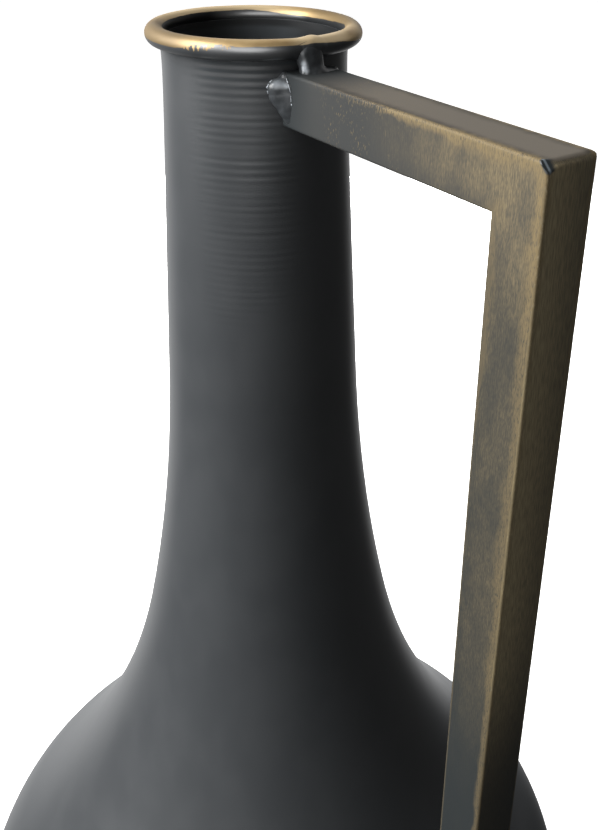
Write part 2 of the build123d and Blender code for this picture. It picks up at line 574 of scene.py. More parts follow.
@dataclass(frozen=True)
class RimGilding:
    """Antique gold brushed over the top of the charcoal rim bar; the brush dragged on the front left.

    Edges of the gold are in degrees of tilt above the bar's middle.
    """

    paint: Colour = (0.036, 0.039, 0.042, 1)
    # painted shade: the bar's inner half is painted darker than its outside, standing in for shade on the
    # inner face
    inside: Colour = (0.014, 0.015, 0.016, 1)
    gold: Colour = (0.40, 0.285, 0.138, 1)
    tarnish: Colour = (0.33, 0.225, 0.105, 1)
    # painted shade: darker gold where the ring gets less light
    gold_in_shade: Colour = (0.158, 0.111, 0.054, 1)
    # painted light: lighter gold on the far side and the handle's side of the ring
    painted_light_gold: Colour = (0.58, 0.45, 0.27, 1)
    spared: Stretch = Stretch(-20.0, 0.5, 1.0)
    spared_edges: Band = (-7.0, 30.0)
    heavy: Stretch = Stretch(105.0, 0.7, 1.0)
    heavy_edges: Band = (37.0, 14.0)
    dragged: Stretch = Stretch(-55.0, 0.965, 0.992)
    dragged_outside: Fade = Fade(0.5, 2.0)
    drag: float = 34.0
    drag_back: float = drag / 3
    waver: float = 12.0
    soft_edge: Fade = Fade(-2, 2)
    halves: Band = (-0.5, 0.5)
    inner_half: Band = (-1, 0)
    sweep: Grain = Grain((7, 7, 12), 3, 4)
    strokes: Grain = Grain((0.9, 0.9, 7.0), 2)
    stroke_marks: Fade = Fade(0.45, 0.65)
    scratches: Grain = Grain((0.35, 9, 9), 1, 7)
    scratch_marks: Fade = Fade(0.74, 0.77, 1.0, 0.3)
    wear: Grain = Grain((9, 9, 2), 4, 3)
    wear_marks: Fade = Fade(0.35, 0.7)
    # painted shade: gold painted darker here, and on the shaded stretch below
    gold_shade: Stretch = Stretch(-98.0, 0.76, 0.95)
    shaded: Stretch = Stretch(80.0, 0.78, 0.96)
    # painted light: lighter gold on the side away from the handle, and on the handle's side
    painted_light_far: Stretch = Stretch(172.0, 0.55, 0.92)
    painted_light_handle_side: Stretch = Stretch(7.0, 0.92, 0.985)
    painted_light_share: float = 0.95
    glossy: Stretch = Stretch(-37.0, 0.90, 0.985)
    sheen: Stretch = Stretch(145.0, 0.80, 0.99)
    metal: Fade = Fade(0, 1, 0.6, 0.4)
    roughness: Fade = Fade(0, 1, 0.40, 0.44)
    dull_roughness: float = 0.1
    specular: Band = (0.1, 0.4)
    gloss_specular: float = 0.5
    coat_roughness: float = 0.34
    coat_ior: float = 2.1
    gold_depth: float = 0.02

    def build(self, radius: float, height: float) -> bpy.types.Material:
        """Make the material.

        Args:
            radius: Radius of the bar's centre circle.
            height: Height of that circle.

        Returns:
            The material.
        """
        graph = ShaderGraph("brushed_gold_rim")
        reach = graph.vector("LENGTH", graph.level(graph.place)).outputs["Value"]
        out = graph.math("SUBTRACT", reach, radius)
        cover = self.gilded(graph, out, graph.math("SUBTRACT", graph.z, height))
        # painted shade: where the gold is painted darker, and made duller and rougher
        gold_shade = graph.math("MAXIMUM", graph.around(self.gold_shade), graph.around(self.shaded))
        gold = graph.mix(graph.marks(self.wear, self.wear_marks), self.gold, self.tarnish)
        # painted light: lighter gold away from the handle and on the handle's side
        gold = graph.mix(graph.around(self.painted_light_far), gold, self.painted_light_gold)
        gold = graph.mix(graph.around(self.painted_light_handle_side, 0.0, self.painted_light_share), gold, self.painted_light_gold)
        gold = graph.mix(gold_shade, gold, self.gold_in_shade)
        # painted shade: darker charcoal on the bar's inner half
        black = graph.mix(graph.ramp(out, *self.inner_half), self.inside, self.paint)
        gloss = graph.ramp(out, *self.halves, graph.around(self.sheen), graph.around(self.glossy))
        gloss = graph.product(gloss, graph.math("SUBTRACT", 1.0, cover))
        rough = graph.product(gold_shade, self.dull_roughness)
        shine = graph.product(gloss, self.gloss_specular)
        graph.set(
            Base_Color=graph.mix(cover, black, gold),
            Metallic=graph.product(cover, graph.fade(gold_shade, self.metal)),
            Roughness=graph.math("ADD", graph.fade(cover, self.roughness), rough),
            Specular_IOR_Level=graph.math("ADD", graph.ramp(out, *self.inner_half, *self.specular), shine),
            Coat_Weight=gloss,
            Coat_Roughness=self.coat_roughness,
            Coat_IOR=self.coat_ior,
            Normal=graph.bump(cover, self.gold_depth),
        )
        return graph.material

    def gilded(self, graph: ShaderGraph, out: Socket, up: Socket) -> Socket:
        """Where the gold is.

        Args:
            graph: The material in the making.
            out: Distance outside the bar's centre circle.
            up: Height above it.

        Returns:
            1 on the gold and 0 on the charcoal.
        """
        angle = graph.math("ARCTAN2", up, graph.math("ABSOLUTE", out))
        tilt = graph.product(angle, degrees(1))
        inner = graph.around(self.heavy, *self.heavy_edges)
        outer = graph.around(self.spared, *self.spared_edges)
        edge = graph.ramp(out, *self.halves, inner, outer)
        sweep = graph.math("SUBTRACT", graph.grain(self.sweep), 0.5)
        strokes = graph.marks(self.strokes, self.stroke_marks)
        dragging = graph.product(graph.around(self.dragged), graph.fade(out, self.dragged_outside))
        level = graph.math("ADD", tilt, graph.product(sweep, self.waver))
        level = graph.math("ADD", level, graph.product(strokes, dragging, self.drag))
        level = graph.math("SUBTRACT", level, graph.product(dragging, self.drag_back))
        scratched = graph.marks(self.scratches, self.scratch_marks)
        return graph.product(graph.fade(graph.math("SUBTRACT", level, edge), self.soft_edge), scratched)


@dataclass(frozen=True)
class BrushedPlace:
    """Where a point of the handle is, and the grain of the brush there."""

    half: float
    above: Socket
    outside: Socket
    beside: Socket
    to_outer: Socket
    to_inner: Socket
    along: Socket
    upper: Socket
    on_leg: Socket
    fine: Socket
    streak: Socket
    blotch: Socket


@dataclass(frozen=True)
class HandleBronze:
    """Antique gold dry-brushed over charcoal: strongest along the outer edges, streaked along Z on the faces.

    Fades along the arm read the distance from the axis, fades down the leg read the height, fades of marks
    read the grain, and fades from 0 to 1 read a share.
    """

    paint: Colour = (0.0125, 0.0158, 0.0170, 1)
    # painted shade: lighter grey paint on the arm away from the neck, so the paint near the neck reads as
    # shade
    unshaded_paint: Colour = (0.0240, 0.0252, 0.0246, 1)
    wash: Colour = (0.140, 0.109, 0.059, 1)
    taupe: Colour = (0.090, 0.077, 0.060, 1)
    umber: Colour = (0.034, 0.028, 0.020, 1)
    brown: Colour = (0.365, 0.298, 0.173, 1)
    gold: Colour = (0.158, 0.117, 0.057, 1)
    # painted highlight: light strip along the notch's edge
    glint: Colour = (0.125, 0.148, 0.165, 1)
    fine: Grain = Grain((0.28, 0.28, 1.5), 2, 1)
    streaks: Grain = Grain((0.4, 0.4, 5), 2)
    blotches: Grain = Grain((4, 4, 9), 2, 6)
    patches: Grain = Grain((9, 9, 24), 1, 11)
    chips: Grain = Grain((0.9, 0.9, 2.2), 3, 15)
    specks: Grain = Grain((0.55, 0.45, 1.5), 2, 21)
    brushed_along: Fade = Fade(76, 150)
    brushed_down: Fade = Fade(330, 480)
    leg_start: Fade = Fade(138, 150)
    face_turn: Band = (0.9, 0.2)
    face_fall: float = 2.0
    edge_start: float = 1.2
    edge_waver: Fade = Fade(0.3, 0.7, 0.6, 1.4)
    least_width: float = 0.01
    outer_width: Fade = Fade(0.1, 1.0, 1.6, 4.8)
    outer_narrowing: Fade = Fade(330, 500, 0.4, 1.0)
    inner_width: Fade = Fade(500, 575, 0.01, 4.5)
    inner_share: float = 0.5
    fleck_low: Fade = Fade(0, 0.3, 0.54, 0.2)
    fleck_high: Fade = Fade(0, 0.3, 0.62, 0.55)
    gilt_start: Fade = Fade(47, 62)
    gilt_along: Fade = Fade(56, 100, 0.5, 1.0)
    gilt_down: Fade = Fade(530, 598, 0.55, 1.0)
    gilt_streaks: Fade = Fade(0.3, 0.6, 0.65, 1.0)
    chip_marks: Fade = Fade(0.62, 0.66, 1.0, 0.2)
    speck_marks: Fade = Fade(0.58, 0.68, 0, 0.45)
    speck_patches: Fade = Fade(0.38, 0.62)
    speck_start: Fade = Fade(52, 68)
    speck_end: Fade = Fade(90, 120, 1, 0)
    wash_down: Fade = Fade(550, 604, 0.29, 0.70)
    wash_on_leg: Fade = Fade(0, 1, 0.06, 1.0)
    wash_under_arm: Fade = Fade(0, 9, 0.45, 1.0)
    wash_patches: Fade = Fade(0.34, 0.62, 0.62, 1.0)
    wash_grain: Fade = Fade(0.34, 0.66, 0.65, 1.3)
    # painted shade: where the lighter paint starts along the arm and up the handle
    unshaded_along: Fade = Fade(38, 58)
    unshaded_rise: Fade = Fade(560, 595)
    # painted shade: the arm's top keeps the darker tone near the neck, under the rim
    dust_past_shade: Fade = Fade(46, 84)
    dust_across: Fade = Fade(2.0, 7.0)
    dust_waver: float = 3.0
    dusk_streaks: Fade = Fade(0.32, 0.66, 0.6, 1.0)
    dusk_down: Fade = Fade(0, 1, 0.1, 1.0)
    dusk_across: Band = (1.0, 0.45)
    notch_end: Band = (2.2, 0.4)
    notch_edge: Fade = Fade(-0.7, -0.1)
    # painted highlight: where the strip runs, measured from the front face
    glint_place: float = 1.2
    glint_line: Fade = Fade(0.1, 0.55, 1.0, 0.0)
    metal: float = 0.15
    roughness: Fade = Fade(0, 1, 0.68, 0.40)
    specular: Fade = Fade(0, 1, 0.3, 0.5)
    streak_depth: float = 0.008

    def build(self, arm_mid: float, leg_mid: float, half: float, notch: CornerNotch) -> bpy.types.Material:
        """Make the material for both tubes, so that it runs on over the mitre.

        Args:
            arm_mid: Height of the arm's middle.
            leg_mid: Distance of the leg's middle from the axis.
            half: Half of the tube's side.
            notch: The open notch at the mitre's front end, which the brush did not reach.

        Returns:
            The material.
        """
        graph = ShaderGraph("dry_brushed_bronze")
        at = self.located(graph, arm_mid, leg_mid, half)
        gilt = graph.math("MAXIMUM", self.gilded(graph, at), self.specked(graph, at))
        tone = graph.mix(gilt, self.washed(graph, at), self.gold)
        bare, wear_and_highlight = self.notched(graph, at, notch)
        graph.set(
            # painted highlight: the glint colour on the notch's edge
            Base_Color=graph.mix(wear_and_highlight, graph.mix(bare, tone, self.paint), self.glint),
            Metallic=graph.product(gilt, self.metal),
            Roughness=graph.fade(bare, self.roughness),
            Specular_IOR_Level=graph.fade(bare, self.specular),
            Normal=graph.bump(at.streak, self.streak_depth),
        )
        return graph.material

    def located(self, graph: ShaderGraph, arm_mid: float, leg_mid: float, half: float) -> BrushedPlace:
        """Read where a point is on the handle.

        Args:
            graph: The material in the making.
            arm_mid: Height of the arm's middle.
            leg_mid: Distance of the leg's middle from the axis.
            half: Half of the tube's side.

        Returns:
            The place and the brush's grain.
        """
        above = graph.math("SUBTRACT", graph.z, arm_mid)
        outside = graph.math("SUBTRACT", graph.x, leg_mid)
        farthest = graph.math("MAXIMUM", above, outside)
        return BrushedPlace(
            half=half,
            above=above,
            outside=outside,
            beside=graph.math("SUBTRACT", half, graph.math("ABSOLUTE", graph.y)),
            to_outer=graph.math("SUBTRACT", half, farthest),
            to_inner=graph.math("ADD", half, farthest),
            along=graph.fade(graph.x, self.brushed_along),
            upper=graph.fade(graph.z, self.brushed_down),
            on_leg=graph.fade(graph.x, self.leg_start),
            fine=graph.grain(self.fine),
            streak=graph.grain(self.streaks),
            blotch=graph.grain(self.blotches),
        )

    def gilded(self, graph: ShaderGraph, at: BrushedPlace) -> Socket:
        """Gold along the outer edges, and along the inner ones near the corner.

        Args:
            graph: The material in the making.
            at: The place on the handle.

        Returns:
            1 on the gold and 0 outside it.
        """
        narrowing = graph.fade(graph.z, self.outer_narrowing)
        width = graph.product(graph.fade(at.along, self.outer_width), narrowing)
        inner_width = graph.fade(graph.z, self.inner_width)
        fleck_limits = (graph.fade(at.along, fade) for fade in (self.fleck_low, self.fleck_high))
        outer = graph.product(
            self.band(graph, at, at.to_outer, width),
            graph.ramp(at.fine, *fleck_limits),
            graph.fade(graph.x, self.gilt_start),
            graph.fade(graph.x, self.gilt_along),
            graph.fade(graph.z, self.gilt_down),
        )
        inner = self.band(graph, at, at.to_inner, inner_width)
        gilt = graph.math("MAXIMUM", outer, graph.product(inner, at.on_leg, self.inner_share))
        chips = graph.marks(self.chips, self.chip_marks)
        return graph.product(gilt, chips, graph.fade(at.streak, self.gilt_streaks))

    def specked(self, graph: ShaderGraph, at: BrushedPlace) -> Socket:
        """Flecks of gold on the arm where the brush began.

        Args:
            graph: The material in the making.
            at: The place on the handle.

        Returns:
            How much gold there is.
        """
        return graph.product(
            graph.marks(self.specks, self.speck_marks),
            graph.fade(at.blotch, self.speck_patches),
            graph.fade(graph.x, self.speck_start),
            graph.fade(graph.x, self.speck_end),
        )

    def washed(self, graph: ShaderGraph, at: BrushedPlace) -> Socket:
        """Colour of the faces: a streaky wash, dust on the arm's top, brown on the leg's outside and painted
        shade.

        Args:
            graph: The material in the making.
            at: The place on the handle.

        Returns:
            The colour.
        """
        wash = graph.product(
            at.along,
            graph.fade(graph.z, self.wash_down),
            graph.fade(at.upper, self.wash_on_leg),
            graph.math("MAXIMUM", at.on_leg, graph.fade(at.to_inner, self.wash_under_arm)),
            graph.marks(self.patches, self.wash_patches),
            graph.fade(at.streak, self.wash_grain),
            graph.fade(at.fine, self.wash_grain),
        )
        # painted shade: darker paint near the neck, lighter grey on the arm beyond it
        unshaded = graph.product(graph.fade(graph.x, self.unshaded_along), graph.fade(graph.z, self.unshaded_rise))
        tone = graph.mix(wash, graph.mix(unshaded, self.paint, self.unshaded_paint), self.wash)
        on_top, on_outside = (
            graph.ramp(place, at.half - self.face_turn[0], at.half - self.face_turn[1])
            for place in (at.above, at.outside)
        )
        wavering = graph.math("ADD", at.beside, graph.product(at.blotch, self.dust_waver))
        dusty = graph.mix(graph.fade(wavering, self.dust_across), self.umber, self.taupe)
        # painted shade: dust only beyond the darker top near the neck
        tone = graph.mix(graph.product(on_top, graph.fade(graph.x, self.dust_past_shade)), tone, dusty)
        dusk = graph.product(
            graph.fade(at.streak, self.dusk_streaks),
            graph.fade(at.upper, self.dusk_down),
            graph.ramp(graph.y, -at.half, at.half, *self.dusk_across),
        )
        return graph.mix(on_outside, tone, graph.mix(dusk, self.paint, self.brown))

    def notched(self, graph: ShaderGraph, at: BrushedPlace, notch: CornerNotch) -> tuple[Socket, Socket]:
        """Where the notch is and where a highlight is painted along its edge.

        Args:
            graph: The material in the making.
            at: The place on the handle.
            notch: The notch at the front end of the mitre's outer edge.

        Returns:
            1 inside the notch, and 1 on the painted highlight along its edge.
        """
        both = graph.math("ADD", graph.math("ADD", at.above, at.outside), -2 * at.half)
        out = graph.product(both, sqrt(0.5))
        beside = graph.math("ADD", graph.y, at.half)
        steep = graph.product(graph.math("ADD", beside, -notch.length), notch.depth / notch.length)
        over = graph.math("ADD", graph.math("SUBTRACT", out, steep), notch.rounding())
        first, last = (notch.length - distance for distance in self.notch_end)
        bare = graph.product(graph.fade(over, self.notch_edge), graph.ramp(beside, first, last, 1.0, 0.0))
        aside = graph.math("ABSOLUTE", graph.math("ADD", beside, -self.glint_place))
        return bare, graph.product(bare, graph.fade(aside, self.glint_line))

    def band(self, graph: ShaderGraph, at: BrushedPlace, distance: Socket, width: Socket) -> Socket:
        """Gilded band along an edge, uneven, and narrow on the face beside the front and back ones.

        Args:
            graph: The material in the making.
            at: The place on the handle.
            distance: Distance from the edge on the front and back faces.
            width: Width of the band.

        Returns:
            1 on the edge and 0 outside the band.
        """
        fall = graph.product(at.beside, self.face_fall)
        squares = graph.math("ADD", graph.math("POWER", distance, 2.0), graph.math("POWER", fall, 2.0))
        reach = graph.math("SUBTRACT", graph.math("POWER", squares, 0.5), self.edge_start)
        wide = graph.product(width, graph.fade(at.blotch, self.edge_waver))
        wide = graph.math("MAXIMUM", wide, self.least_width)
        share = graph.math("DIVIDE", graph.math("MAXIMUM", reach, 0.0), wide)
        return graph.ramp(share, 0.0, 1.0, 1.0, 0.0)


@dataclass(frozen=True)
class WeldPaint:
    """Glossy charcoal paint over weld metal, light grey on chips and on a painted sheen."""

    dark: Colour = (0.034, 0.038, 0.041, 1)
    light: Colour = (0.047, 0.051, 0.055, 1)
    # light grey of chipped paint and cracks, which also stands in for their glints, and of the painted sheen
    chip_and_sheen_colour: Colour = (0.34, 0.37, 0.40, 1)
    clouds: Grain = Grain((2.5, 2.5, 2.5), 4)
    cloud_tone: Fade = Fade(0.35, 0.65)
    cloud_gloss: Fade = Fade(0.3, 0.7, 0.29, 0.34)
    ripples: Grain = Grain((0.8, 0.8, 0.8), 3, 3)
    ripple_depth: float = 0.012

    def build(self) -> bpy.types.Material:
        """Make the material.

        Returns:
            The material.
        """
        graph = ShaderGraph("glossy_weld_paint")
        chips_and_sheen = graph.node("ShaderNodeAttribute", attribute_name=CHIPS_AND_SHEEN).outputs["Fac"]
        cloud = graph.grain(self.clouds)
        paint = graph.mix(graph.fade(cloud, self.cloud_tone), self.dark, self.light)
        graph.set(
            # painted sheen and chips: light grey where the mesh marks them
            Base_Color=graph.mix(chips_and_sheen, paint, self.chip_and_sheen_colour),
            Roughness=graph.fade(cloud, self.cloud_gloss),
            Normal=graph.bump(graph.grain(self.ripples), self.ripple_depth),
        )
        return graph.material


@dataclass(frozen=True)
class FloorPaint:
    """Even pale floor that glows enough to read as white."""

    pale: Colour = (0.86, 0.86, 0.85, 1)
    glow: float = 0.9
    specks: Grain = Grain((40, 40, 40), 2)
    speck_gloss: Fade = Fade(0, 1, 0.78, 0.82)

    def build(self) -> bpy.types.Material:
        """Make the material.

        Returns:
            The material.
        """
        graph = ShaderGraph("pale_floor")
        graph.set(
            Base_Color=self.pale,
            Roughness=graph.marks(self.specks, self.speck_gloss),
            Emission_Color=WHITE,
            Emission_Strength=self.glow,
        )
        return graph.material


# Body


@dataclass
class BodyOutline:
    """Outline of the spun body: a line and three tangent arcs down to the girth, then two arcs and a line."""

    sheet: float = 1.2
    base_flat_r: float = 85.0
    base_corner_r: float = 10.0
    girth_z: float = 120.0
    girth_r: float = 167.5
    shoulder_r: float = 95.0
    rim_z: float = 618.0
    neck_top_r: float = 35.0
    taper_tilt: float = 2.6
    taper_length: float = 146.0
    neck_bend_r: float = 768.0
    flare_tilt: float = 12.4
    edge_drop: float = 1.2
    girth_gap: float = 2.0

    def __post_init__(self) -> None:
        """Work out the arcs' centres from the driving sizes."""
        slope = tan(radians(self.taper_tilt))
        self.taper_end = (self.neck_top_r + self.taper_length * slope, self.rim_z - self.taper_length)
        self.bend_centre = self.moved(self.taper_end, self.neck_bend_r, self.taper_tilt)
        self.flare_start = self.moved(self.bend_centre, -self.neck_bend_r, self.flare_tilt)
        self.shoulder_centre = (self.girth_r - self.shoulder_r, self.girth_z)
        across = self.flare_start[0] - self.shoulder_centre[0]
        above = self.flare_start[1] - self.shoulder_centre[1]
        reach = across * cos(radians(self.flare_tilt)) + above * sin(radians(self.flare_tilt))
        self.flare_r = (across**2 + above**2 - self.shoulder_r**2) / (2 * (self.shoulder_r - reach))
        self.flare_centre = self.moved(self.flare_start, self.flare_r, self.flare_tilt)
        run = self.flare_centre[0] - self.shoulder_centre[0]
        self.shoulder_tilt = degrees(atan2(self.flare_centre[1] - self.girth_z, run))
        self.shoulder_top = self.moved(self.shoulder_centre, self.shoulder_r, self.shoulder_tilt)[1]
        overhang = self.girth_r - self.base_flat_r
        drop = self.girth_z - self.base_corner_r
        chord = overhang**2 + drop**2 - self.base_corner_r**2
        self.bowl_r = chord / (2 * (overhang - self.base_corner_r))
        self.bowl_centre = (self.girth_r - self.bowl_r, self.girth_z)
        self.bowl_end = -degrees(atan2(drop, self.base_flat_r - self.bowl_centre[0]))

    @staticmethod
    def moved(start: Point, distance: float, angle: float) -> Point:
        """Point at a distance and an angle in degrees from a start."""
        return (start[0] + distance * cos(radians(angle)), start[1] + distance * sin(radians(angle)))

    def radius_at(self, height: float) -> float:
        """Outer radius of the neck, flare or shoulder.

        Args:
            height: Height above the girth.

        Returns:
            The radius there.
        """
        if height >= self.taper_end[1]:
            return self.neck_top_r + (self.rim_z - height) * tan(radians(self.taper_tilt))
        if height >= self.flare_start[1]:
            return self.bend_centre[0] - sqrt(self.neck_bend_r**2 - (height - self.bend_centre[1])**2)
        if height >= self.shoulder_top:
            return self.flare_centre[0] - sqrt(self.flare_r**2 - (height - self.flare_centre[1])**2)
        return self.shoulder_centre[0] + sqrt(self.shoulder_r**2 - (height - self.girth_z)**2)

    def shoulder_height(self, radius: float) -> float:
        """Height of the shoulder's outer face at a radius from the axis."""
        return self.girth_z + sqrt(self.shoulder_r**2 - (radius - self.shoulder_centre[0])**2)

    def upper(self, inset: float, fine: float, coarse: float) -> list[Point]:
        """Outline from the neck's top edge to the seam at the girth.

        Args:
            inset: Distance inside the outer face.
            fine: Longest step on the neck.
            coarse: Longest step on the flare and the shoulder.

        Returns:
            Points of radius and height, from the top down.
        """
        slope = radians(self.taper_tilt)
        top_r = self.neck_top_r + self.edge_drop * tan(slope) - inset / cos(slope)
        bottom = degrees(self.girth_gap / 2 / (self.shoulder_r - inset))
        bend = arc_points(
            self.bend_centre, self.neck_bend_r + inset, 180 + self.taper_tilt, 180 + self.flare_tilt, fine,
        )
        flare = arc_points(
            self.flare_centre, self.flare_r + inset, 180 + self.flare_tilt, 180 + self.shoulder_tilt, coarse,
        )
        shoulder = arc_points(
            self.shoulder_centre, self.shoulder_r - inset, self.shoulder_tilt, bottom, coarse,
        )
        neck = line_points((top_r, self.rim_z - self.edge_drop), bend[0], fine)
        return neck + bend[1:] + flare[1:] + shoulder[1:]

    def lower(self, inset: float, step: float) -> list[Point]:
        """Outline from the seam at the girth to the middle of the base.

        Args:
            inset: Distance inside the outer face.
            step: Longest step on the bowl; it is finer on the corner and coarser on the base.

        Returns:
            Points of radius and height, from the girth down.
        """
        start = -degrees(self.girth_gap / 2 / (self.bowl_r - inset))
        bowl = arc_points(self.bowl_centre, self.bowl_r - inset, start, self.bowl_end, step)
        corner_centre = (self.base_flat_r, self.base_corner_r)
        corner = arc_points(corner_centre, self.base_corner_r - inset, self.bowl_end, -90, step / 3)
        base = line_points((self.base_flat_r, inset), (0, inset), 4 * step)
        return bowl + corner[1:] + base[1:]


@dataclass
class SpunBody(SubAssembly):
    """Neck and bowl, spun from sheet and welded at the girth."""

    outline: BodyOutline
    steps: int = 144
    ridge_step: float = 0.65
    outer_step: float = 3.0
    inner_step: float = 6.0
    ridge_pitch: float = 2.9
    ridge_depth: float = 0.075
    ridge_shift: float = 1.15
    ridge_end: float = 475.0
    ridge_full: float = 600.0
    ridge_front: float = -34.0
    ridge_fade: Band = (0.8, 0.97)
    ridge_least: float = 0.05
    drift: Lumps = Lumps(17, 0.9)
    strength: float = 0.6
    uneven: Lumps = Lumps(40, 0.9)
    uneven_rise: float = 4.3
    first_rows: Band = (598.0, 606.0)
    first_strength: float = 0.45
    lip_flare: float = 1.5
    lip_reach: float = 8.0
    bead_width: float = 4.0
    bead_crown: float = 0.8
    bead_sides: int = 16
    bead_lumps: tuple[Lumps, ...] = (Lumps(6, 0.25), Lumps(2, 0.12))

    def ridge(self, place: Vector) -> float:
        """Height of the lathe ridges on the neck, which are deepest in front.

        Args:
            place: Point on the neck.

        Returns:
            Offset outwards.
        """
        shallow = smooth_step(place.z, self.ridge_end, self.ridge_full)
        front = Vector((cos(radians(self.ridge_front)), sin(radians(self.ridge_front))))
        in_front = smooth_step(place.xy.normalized() @ front, *self.ridge_fade)
        deep = self.ridge_least + (1 - self.ridge_least) * in_front
        spot = (place.x / self.uneven.size, place.y / self.uneven.size, place.z / self.uneven_rise)
        strength = self.strength + self.uneven.depth * noise.noise(spot)
        strength += self.first_strength * smooth_step(place.z, *self.first_rows)
        drift = self.drift.depth * noise.noise((0, 0, place.z / self.drift.size))
        turns = (place.z + self.ridge_shift) / self.ridge_pitch
        return self.ridge_depth * shallow * deep * strength * cos(tau * turns + drift)

    def build_neck(self) -> bpy.types.Object:
        """Spin the neck, flare its lip a little and press the lathe ridges into its outer face.

        Returns:
            The neck.
        """
        outer = self.outline.upper(0, self.ridge_step, self.outer_step)
        inner = self.outline.upper(self.outline.sheet, self.outer_step, self.inner_step)
        bm = spun(outer + inner[::-1], self.steps, closed=True)
        for vert in bm.verts:
            radius = hypot(vert.co.x, vert.co.y)
            on_outside = radius > self.outline.radius_at(vert.co.z) - self.outline.sheet / 2
            if on_outside and vert.co.z > self.ridge_end:
                flare = self.lip_flare * exp((vert.co.z - self.outline.rim_z) / self.lip_reach)
                vert.co.xy = vert.co.xy * (1 + (flare + self.ridge(vert.co)) / radius)
        return make_piece(bm, "spun_neck")

    def build_bowl(self) -> bpy.types.Object:
        """Spin the bowl with its flat base.

        Returns:
            The bowl.
        """
        outer = self.outline.lower(0, self.outer_step)
        inner = self.outline.lower(self.outline.sheet, self.inner_step)
        return make_piece(spun(outer[::-1] + inner, self.steps, closed=False), "spun_bowl")

    def build_bead(self) -> bpy.types.Object:
        """Spin the seam bead and make it a little uneven.

        Returns:
            The bead.
        """
        wide = self.bead_width / 2
        deep = self.outline.sheet / 2 + self.bead_crown
        middle = (self.outline.girth_r - self.outline.sheet / 2, self.outline.girth_z)
        angles = [tau * index / self.bead_sides for index in range(self.bead_sides)]
        loop = [(middle[0] + deep * cos(angle), middle[1] + wide * sin(angle)) for angle in angles]
        bm = spun(loop, 3 * self.steps, closed=True)
        for vert in bm.verts:
            lumps = (lump.depth * noise.noise(vert.co / lump.size) for lump in self.bead_lumps)
            vert.co += vert.normal * sum(lumps)
        return make_piece(bm, "girth_bead")

    def build(self) -> None:
        """Build the pieces and let them stand for their nodes."""
        self.mount(Slot.BODY, {
            "neck_shell": self.build_neck(),
            "lower_bowl": self.build_bowl(),
            "girth_weld": self.build_bead(),
        })

    def dress(self, paint: BodyPaint) -> None:
        """Paint the body."""
        self.cover(paint.build())


# Weld metal


@dataclass(frozen=True)
class Puddle:
    """One drop of weld metal."""

    x: float
    y: float
    z: float
    radius: float

    @property
    def place(self) -> Vector:
        """Middle of the drop."""
        return Vector((self.x, self.y, self.z))


def add_drop(bm: bmesh.types.BMesh, drop: Puddle, subdivisions: int) -> list[bmesh.types.BMVert]:
    """Add one drop to a mesh.

    Args:
        bm: The mesh.
        drop: The drop.
        subdivisions: Fineness of its surface.

    Returns:
        The drop's vertices.
    """
    place = Matrix.Translation(drop.place)
    made = bmesh.ops.create_icosphere(bm, subdivisions=subdivisions, radius=drop.radius, matrix=place)
    return made["verts"]


def fused_puddles(puddles: Iterable[Puddle], name: str, fusing: Fusing) -> bmesh.types.BMesh:
    """Run drops of weld metal together.

    Args:
        puddles: The drops.
        name: Name for the scratch object.
        fusing: Grid and smoothing.

    Returns:
        One closed lumpy mesh.
    """
    bm = bmesh.new()
    for drop in puddles:
        add_drop(bm, drop, subdivisions=3)
    mesh = bpy.data.meshes.new(name)
    bm.to_mesh(mesh)
    bm.free()
    scratch = bpy.data.objects.new(name + "_drops", mesh)
    bpy.context.scene.collection.objects.link(scratch)
    remesh = scratch.modifiers.new("fuse", "REMESH")
    remesh.mode = "VOXEL"
    remesh.voxel_size = fusing.voxel
    shaped = scratch.evaluated_get(bpy.context.evaluated_depsgraph_get())
    fused = bpy.data.meshes.new_from_object(shaped)
    result = bmesh.new()
    result.from_mesh(fused)
    bpy.data.objects.remove(scratch)
    bpy.data.meshes.remove(mesh)
    bpy.data.meshes.remove(fused)
    for _ in range(fusing.rounds):
        bmesh.ops.smooth_vert(
            result, verts=result.verts, factor=fusing.factor,
            use_axis_x=True, use_axis_y=True, use_axis_z=True,
        )
    result.normal_update()
    return result


# Rim


